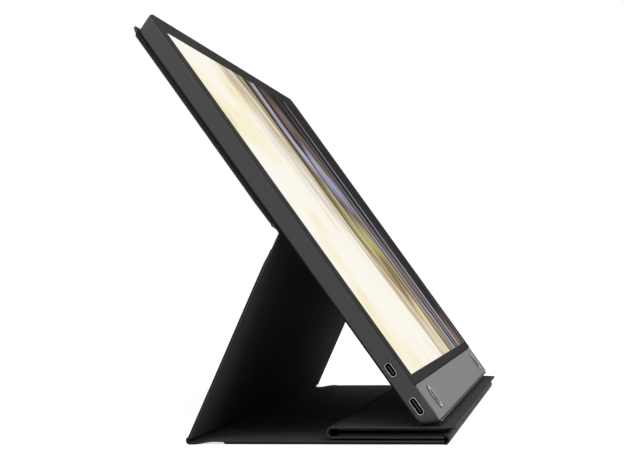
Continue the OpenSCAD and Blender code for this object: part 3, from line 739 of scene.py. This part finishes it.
def chin():
    half_w, y0, y1 = DISP_W / 2 - CHIN_INSET, CHIN_Y + 0.12, CHIN_Y + CHIN_H
    stations = ((GLASS_Z, 0.0), (CHIN_FACE - 0.09, 0.0), (CHIN_FACE - 0.025, 0.025), (CHIN_FACE, 0.09))
    loops = [round_outline(half_w - inset, y0 + inset, y1 - inset, [CHIN_R] * 4, z, 5)
             for z, inset in stations]
    obj = lofted("chin_plate_dressed", loops, on_display, 60)
    r = BUTTON_R + BUTTON_GAP
    hole = [(r, -1), (r, CHIN_T - 0.16), (r + 0.05, CHIN_T - 0.05), (r + 0.16, CHIN_T + 0.001),
            (r + 0.5, CHIN_T + 0.6)]
    cut(obj, [lathe("cutter", hole, button_place(side, GLASS_Z), 60, 96) for side in (-1, 1)])
    smooth(obj, 40)
    piece(weighted(obj), "chin", "display", "chin_plate")


def trim():
    half_w, y0, y1 = DISP_W / 2 - CORNER_R, 0.0, TRIM_H - 0.3
    stations = ((GLASS_Z, 0.0), (CHIN_FACE - 0.2, 0.0), (CHIN_FACE - 0.06, 0.06), (CHIN_FACE, 0.2))
    loops = [round_outline(half_w - inset, y0 + inset, y1 - inset, [0.2] * 4, z, 4)
             for z, inset in stations]
    obj = weighted(lofted("chin_trim_dressed", loops, on_display, 45))
    piece(obj, "trim", "display", "chin_trim")


def button(name, side, body):
    r = BUTTON_R
    top = CHIN_FACE + BUTTON_RISE
    low = top - 0.05
    # Skirt with its collar behind the plate, made black as painted shade on the button's side wall
    skirt = [(0, GLASS_Z - 0.7), (r + 0.7, GLASS_Z - 0.7), (r + 0.7, GLASS_Z - 0.05),
             (r, GLASS_Z - 0.04), (r, low - 0.02), (r - 0.04, low), (0, low)]
    obj = lathe(name + "_skirt", skirt, button_place(side, 0), 30)
    piece(obj, "skirt", body, name)
    # Spun cap: a flat rim round a shallow dish
    dish_r, dish_top = r - BUTTON_RIM, top - 0.02
    cap = [(0, low), (r - 0.06, low), (r - 0.05, low + 0.01), (r - 0.08, top - 0.01),
           (r - 0.14, top), (r - 0.3, top), (r - 0.45, top), (dish_r, dish_top)]
    for i in range(1, 13):
        at = dish_r * (1 - i / 12)
        cap.append((at, dish_top - (BUTTON_DISH - 0.02) * (1 - (at / dish_r) ** 2)))
    obj = lathe(name + "_cap", cap, button_place(side, 0), 30)
    piece(obj, "button", body, name)


side_frame()
for name, (height, w) in PORTS.items():
    port(name, height, w)
front_border()
picture_plate()
chin()
trim()
button("left_button", -1, "left_key")
button("right_button", 1, "right_key")


# Cover panels
def edge_steps(border):
    """Distances in from an end, dense over the border and the pocket's rounded edge."""
    steps = [0, 0.08, 0.2]
    for offset in (-0.9, -0.5, -0.2, 0.15, 0.5, 0.9, 1.4, 2.2):
        if border + offset > steps[-1] + 0.12:
            steps.append(border + offset)
    return np.array(steps)


def grid_lines(low, high, low_border, high_border, count):
    near, far = edge_steps(low_border), edge_steps(high_border)
    inner = np.linspace(low + near[-1], high - far[-1], count)[1:-1]
    return np.r_[low + near, inner, high - far[::-1]]


def panel_grid(ends, borders, corners):
    half = COVER_W / 2
    # Only the outer part of each row moves in at a round corner
    reach = half - max(*corners, 1) - 6
    xs = grid_lines(-half, half, SIDE_B, SIDE_B, PANEL_COUNT)
    ys = grid_lines(*ends, *borders, max(6, int((ends[1] - ends[0]) / 10)))
    X, Y = np.meshgrid(xs, ys)
    for row, y in zip(X, ys):
        edge = half
        for r, past in ((corners[0], ends[0] + corners[0] - y), (corners[1], y - (ends[1] - corners[1]))):
            if r > 0 and past > 0:
                edge = half - r + math.sqrt(max(r * r - past * past, 0))
        out = np.abs(row) > reach
        beyond = (np.abs(row[out]) - reach) * (edge - reach) / (half - reach)
        row[out] = np.sign(row[out]) * (reach + beyond)
    return X, Y


def rounded_box_distance(X, Y, half_w, y0, y1, r):
    """Distance from a rectangle with round corners, negative inside it."""
    middle, half_h = (y0 + y1) / 2, (y1 - y0) / 2
    qx, qy = np.abs(X) - (half_w - r), np.abs(Y - middle) - (half_h - r)
    return np.hypot(np.maximum(qx, 0), np.maximum(qy, 0)) + np.minimum(np.maximum(qx, qy), 0) - r


def ripple(X, Y, seed, size, depth):
    """A slow unevenness from 0 to depth."""
    out = np.zeros(X.shape)
    for at in np.ndindex(X.shape):
        out[at] = noise.noise(Vector((X[at] / size + seed * 7.3, Y[at] / size - seed * 3.1, seed)))
    return (out * 0.5 + 0.5) * depth


def smoothstep(w):
    w = np.clip(w, 0, 1)
    return w * w * (3 - 2 * w)


def rims(shape):
    """1 on the outermost ring of the grid's points, and 1 on the ring inside it."""
    rim, second = np.zeros(shape), np.zeros(shape)
    rim[0, :] = rim[-1, :] = rim[:, 0] = rim[:, -1] = 1
    second[1, 1:-1] = second[-2, 1:-1] = 1
    second[1:-1, 1] = second[1:-1, -2] = 1
    return rim, second


def cover_panel(name, place, body, ends, borders, corners, seed, pad=0.0, soft=0.0, shoulder=0.0):
    """Leather pocket with a soft raised field, and the lining pressed down round its border.
    pad thickens the lining; soft is the length over which the field thins towards the far end,
    and shoulder that over which it rises from two thirds at the near end."""
    X, Y = panel_grid(ends, borders, corners)
    rim, second = rims(X.shape)
    # A pocket that reaches the end of the panel has no border there
    beyond = [3 if border <= SKIN else 0 for border in borders]
    half_w = COVER_W / 2 - SIDE_B + SKIN
    y0 = ends[0] + borders[0] - SKIN - beyond[0]
    y1 = ends[1] - borders[1] + SKIN + beyond[1]
    d = rounded_box_distance(X, Y, half_w, y0, y1, POCKET_R)
    field = 1 - (1 - np.clip(-d / POCKET_SLOPE, 0, 1)) ** 2.4
    if soft:
        field = field * smoothstep((ends[1] - soft * 0.35 - Y) / (soft * 0.9))
    if shoulder:
        field = field * (0.67 + 0.33 * smoothstep((Y - ends[0]) / shoulder))
    depth = pad + BORDER_T + (PANEL_T - BORDER_T) * field
    rise = rim * LEATHER_RIM[0] + second * LEATHER_RIM[1]
    if borders[0] == 0:
        rise[:2, :] = 0
    outer = -depth + ripple(X, Y, seed, *LEATHER_RIPPLE) * field + rise
    between = np.full(X.shape, -LINING - pad)
    # The lining is pressed into the border and a little padded over the board
    d = rounded_box_distance(X, Y, half_w - LINING_INSET, y0 + LINING_INSET, y1 - LINING_INSET, LINING_R)
    full = 1 - (1 - np.clip(-d / LINING_SLOPE, 0, 1)) ** 2
    inner = -LINING_PRESS * (1 - full) - ripple(X, Y, seed + 5, *LINING_RIPPLE) * full
    inner = inner - rim * LINING_RIM[0] - second * LINING_RIM[1]
    for layer, top, bottom in (("leather", between, outer), ("lining", inner, between)):
        obj, count = sheet(f"{name}_{layer}_dressed", X, Y, top, bottom, place, 45)
        edged(obj, layer, count)
        # The upper panel's pocket sides get a painted highlight, and its border edge painted shade
        if name == "upper":
            paint_pocket_light_and_shade(obj)
        piece(obj, None, body, f"{name}_{layer}")


cover_panel("upper", on_display, "display", (UPPER_0, UPPER_1), (0, END_B), (0, COVER_R), 1,
            pad=UPPER_PAD, shoulder=UPPER_SHOULDER)
cover_panel("leg", on_leg, "leg", (TURN_GAP, LEG_LEN - TURN_GAP), (SKIN, FOLD_B), (0, 0), 2,
            soft=LEG_SOFT_END)
cover_panel("floor", on_floor, "base", (-FLOOR_LEN / 2, FLOOR_LEN / 2), (SKIN, FOLD_B), (0, 0), 3)
cover_panel("middle", on_middle, "middle_flap", (-MIDDLE_LEN, 0), (FOLD_B, SKIN), (0, 0), 4)
cover_panel("front", on_front, "front_flap", (-FRONT_LEN, 0), (END_B, FOLD_B), (COVER_R, 0), 5)


# Folds
def strip(name, path, start, end, seed, wrinkle):
    """A soft strip across the cover. path: (y, z, ny, nz) points along its section with their
    normals; the strip fills from start to end along the normals, with rounded long edges."""
    path = np.asarray(path, float)
    n = len(path)
    starts, ends = np.broadcast_to(start, n), np.broadcast_to(end, n)
    half = COVER_W / 2
    left = [(-half + inwards, thin) for inwards, thin in STRIP_EDGE]
    inner = [(x, 0.0) for x in np.linspace(STRIP_EDGE_W - half, half - STRIP_EDGE_W, STRIP_COUNT)]
    stations = left + inner + [(-x, thin) for x, thin in reversed(left)]
    middle = path[:, :2] + path[:, 2:] * (np.mean(start) + np.mean(end)) / 2
    length = np.r_[0, np.cumsum(np.hypot(*np.diff(middle, axis=0).T))]
    fade = np.sin(np.clip(length / length[-1], 0, 1) * math.pi) ** 0.7

    def point(x, i, off):
        broad = noise.noise(Vector((x / 9 + seed * 5, length[i] / 5, seed)))
        fine = noise.noise(Vector((x / 3.2 - seed, length[i] / 6, seed + 3)))
        off += wrinkle * fade[i] * (broad + 0.6 * fine)
        y, z, ny, nz = path[i]
        return (x, y + ny * off, z + nz * off)

    loops = []
    for x, thin in stations:
        outside = [point(x, i, ends[i] - thin) for i in range(n)]
        inside = [point(x, i, starts[i] + thin) for i in reversed(range(n))]
        loops.append(outside + inside)
    return lofted(name, loops, as_is, 45)


def layers(start, end, lining_inside):
    """Where the leather and the lining start and end along a section's normals."""
    if lining_inside:
        return (end - SKIN, end), (start, end - SKIN)
    return (start, start + SKIN), (start + SKIN, end)


def laminate(name, replaced, path, fills, seed, wrinkle, *motion):
    """Leather and lining as two strips. motion: one body to ride, or two bodies with the place where each
    holds the strip; these are not used, and the strip stays where it is drawn, on no body."""
    for key, (start, end) in zip(("leather", "lining"), fills):
        obj = edged(strip(f"{name}_{key}", path, start, end, seed, wrinkle), key, 2)
        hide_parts(replaced)
        if len(motion) > 1:
            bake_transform(obj)
        else:
            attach(obj, *motion)


def arc(centre, start, end, n):
    """Section points of zero radius about an axis, with outward normals, in degrees from +Y."""
    angles = [math.radians(start + (end - start) * i / n) for i in range(n + 1)]
    return [(*centre, math.cos(a), math.sin(a)) for a in angles]


def metres(y, z):
    return (0.0, y * MM, z * MM)


def flap_fold(name, axis, gap, sweep, seed, lining_inside, *bodies):
    """A half round between two panels that lie one on the other."""
    r = PANEL_T + gap / 2
    hold = r - FOLD_HOLD
    laminate(name, name, arc(axis, -90, -90 + sweep, 24), layers(r - FOLD_T, r, lining_inside), seed, 0.03,
             *bodies, metres(axis[0], axis[1] - hold), metres(axis[0], axis[1] + hold))


# The leather runs round the outside of the front fold, and the lining round that of the rear fold
flap_fold("front_fold", FRONT_AX, FLOOR_GAP, -180, 11, True, "base", "middle_flap")
flap_fold("rear_fold", REAR_AX, MIDDLE_GAP, 180, 12, False, "middle_flap", "front_flap")


def along_leg(start, distance, out=0.0):
    """A place up the leg from a start, and out from its middle."""
    return tuple(start[i] + LEG_OUT[i] * out + LEG_DIR[i] * distance for i in (0, 1))


def foot_fold():
    """From under the spine round to the leg's outside."""
    path = arc(FOOT, -90, 90 - math.degrees(LEG_A), 18)
    path += [(*along_leg(FOOT, distance), *LEG_OUT) for distance in (0.2, 0.4, TURN_GAP)]
    laminate("foot_fold", "foot_fold", path, layers(FOOT_R - FOLD_T, FOOT_R, True), 13, 0.03,
             "base", "leg", metres(FOOT[0], FOOT[1] - FOOT_HOLD_LOW),
             metres(*along_leg(FOOT, FOOT_HOLD_UP, FOOT_HOLD_OUT)))


foot_fold()


def smooth_path(points, n):
    """Catmull-Rom through the points, with upward normals."""
    points = np.asarray(points, float)
    P = np.vstack([2 * points[0] - points[1], points, 2 * points[-1] - points[-2]])
    out = []
    for i in range(1, len(P) - 2):
        for t in (j / n for j in range(n)):
            out.append(0.5 * (2 * P[i] + (P[i + 1] - P[i - 1]) * t
                              + (2 * P[i - 1] - 5 * P[i] + 4 * P[i + 1] - P[i + 2]) * t * t
                              + (3 * P[i] - P[i - 1] - 3 * P[i + 1] + P[i + 2]) * t ** 3))
    out = np.array([*out, points[-1]])
    d = np.gradient(out, axis=0)
    d /= np.linalg.norm(d, axis=1)[:, None]
    return [(p[0], p[1], -v[1], v[0]) for p, v in zip(out, d)]


def spine():
    """From the floor panel's border down to the table."""
    z0 = PANEL_T - BORDER_T
    y0 = FLOOR_LEN / 2
    path = smooth_path([(y0, z0), (y0 + SPINE_W * 0.1, z0 + 0.06), (y0 + SPINE_W * 0.24, z0 + 0.06),
                        (y0 + SPINE_W * 0.5, (z0 + 0.1) * 0.52 + 0.05), (y0 + SPINE_W * 0.78, 0.08),
                        (FOOT[0], 0.0)], 5)
    laminate("spine", "spine_strip", path, layers(0.0, FOLD_T, False), 14, 0.06, "base")


spine()

# Hinge strip: lengths above and below the hinge's axis where its bend starts and ends, its
# thickness at the bend, and how much it swells towards the upper panel and the leg
BEND_ABOVE, BEND_BELOW = 2.0, 0.5
STRIP_T, UPPER_SWELL, LEG_SWELL, LEG_END_T = 0.45, 0.93, 0.2, 0.68


def under_display(distance):
    """A place on the strip's middle line along the display's back."""
    return on_display([[0, HINGE_Y + distance, -HINGE_DEPTH]])[0][1:]


def hinge_strip():
    """From the upper panel's border round the hinge to the leg's border."""
    path, swell = [], []
    for i in range(13):
        w = 1 - i / 12
        distance = BEND_ABOVE + (STRIP_LEN - BEND_ABOVE) * w
        path.append((*under_display(distance), SIN_TILT, -COS_TILT))
        swell.append(STRIP_T + UPPER_SWELL * smoothstep(w))
    first, middle = np.array(path[-1][:2]), np.array(HINGE)
    last = middle - LEG_DIR * BEND_BELOW
    for i in range(1, 15):
        t = i / 14
        p = (1 - t) ** 2 * first + 2 * t * (1 - t) * middle + t * t * last
        d = (1 - t) * (middle - first) + t * (last - middle)
        d /= np.hypot(*d)
        path.append((p[0], p[1], -d[1], d[0]))
        swell.append(STRIP_T + LEG_SWELL * t * t)
    path.append((*along_leg(HINGE, -TURN_GAP), *LEG_OUT))
    swell.append(LEG_END_T)
    laminate("hinge_strip", "hinge_strip", path, ((0.0, swell), (-STRIP_T, 0.0)), 15, 0.0,
             "display", "leg", metres(*under_display(BEND_ABOVE)), metres(*along_leg(HINGE, -TURN_GAP)))


hinge_strip()


# Stage, light, camera
WORLD_LIGHT, FLOOR_GLOW, FLOOR_RADIUS = 0.36, 0.74, 8
FOCAL_LENGTH_PX, PICTURE_WIDTH_PX, SENSOR_MM = 1566.5, 624, 36
CAMERA_PLACE = (-0.87801, -0.11047, 0.07582)
CAMERA_SHIFT = (-0.12, 0.04)
YAW, PITCH, ROLL = math.radians(6.847), math.radians(0.779), math.radians(-0.614)


def seen_directly(tree):
    """1 for what the camera sees, directly, in a gloss or through glass, and 0 for light on the
    object."""
    rays = tree.nodes.new("ShaderNodeLightPath")
    out = rays.outputs["Is Camera Ray"]
    for kind in ("Is Glossy Ray", "Is Transmission Ray"):
        out = maths(tree, "MAXIMUM", out, rays.outputs[kind])
    return out


def studio_floor():
    bpy.ops.mesh.primitive_circle_add(vertices=96, radius=FLOOR_RADIUS, fill_type="NGON",
                                      location=(0, 0, -0.00002))
    floor = bpy.context.object
    floor.name = "studio_floor"
    mat, tree, shader, coords = material("studio_floor")
    soft = noise_tex(tree, coords, 3, 2)
    vary(tree, shader.inputs["Base Color"], soft.outputs["Fac"], grey(0.59), grey(0.61))
    glow = maths(tree, "MULTIPLY", seen_directly(tree), FLOOR_GLOW)
    tree.links.new(glow, shader.inputs["Emission Strength"])
    set_sockets(shader, Emission_Color=(1, 1, 1, 1), Roughness=0.9, Specular_IOR_Level=0.1)
    floor.data.materials.append(mat)


def studio_world():
    """White to the camera and in reflections, a softer level as light."""
    world = bpy.data.worlds.new("studio")
    bpy.context.scene.world = world
    world.use_nodes = True
    tree = world.node_tree
    back = tree.nodes["Background"]
    back.inputs[0].default_value = (1.0, 1.0, 1.0, 1)
    level = tree.nodes.new("ShaderNodeMapRange")
    level.inputs["To Min"].default_value = WORLD_LIGHT
    level.inputs["To Max"].default_value = 1.0
    tree.links.new(seen_directly(tree), level.inputs["Value"])
    tree.links.new(level.outputs[0], back.inputs[1])


def area_light(name, place, target, size, power):
    light = bpy.data.lights.new(name, "AREA")
    light.shape = "RECTANGLE"
    light.size = light.size_y = size
    light.energy = power
    obj = bpy.data.objects.new(name, light)
    obj.location = place
    obj.rotation_euler = (Vector(target) - Vector(place)).to_track_quat("-Z", "Y").to_euler()
    bpy.context.scene.collection.objects.link(obj)


def camera():
    lens = bpy.data.cameras.new("camera")
    lens.sensor_width = SENSOR_MM
    lens.sensor_fit = "HORIZONTAL"
    lens.lens = FOCAL_LENGTH_PX * SENSOR_MM / PICTURE_WIDTH_PX
    lens.shift_x, lens.shift_y = CAMERA_SHIFT
    lens.clip_start = 0.02
    obj = bpy.data.objects.new("camera", lens)
    bpy.context.scene.collection.objects.link(obj)
    forwards = Vector((math.cos(YAW) * math.cos(PITCH), math.sin(YAW) * math.cos(PITCH), math.sin(PITCH)))
    level = Vector((math.sin(YAW), -math.cos(YAW), 0))
    upright = level.cross(forwards)
    right = level * math.cos(ROLL) + upright * math.sin(ROLL)
    up = -level * math.sin(ROLL) + upright * math.cos(ROLL)
    turn = Matrix((right, up, -forwards)).transposed().to_4x4()
    obj.matrix_world = Matrix.Translation(CAMERA_PLACE) @ turn
    bpy.context.scene.camera = obj


studio_floor()
studio_world()
area_light("key", (-0.55, -0.8, 1.25), (0, 0, 0.1), 1.0, 17)
area_light("side", (-0.40, 0.13, 0.46), (-0.18, 0.05, 0.15), 0.25, 1.05)
camera()
bpy.context.scene.view_settings.view_transform = "Standard"
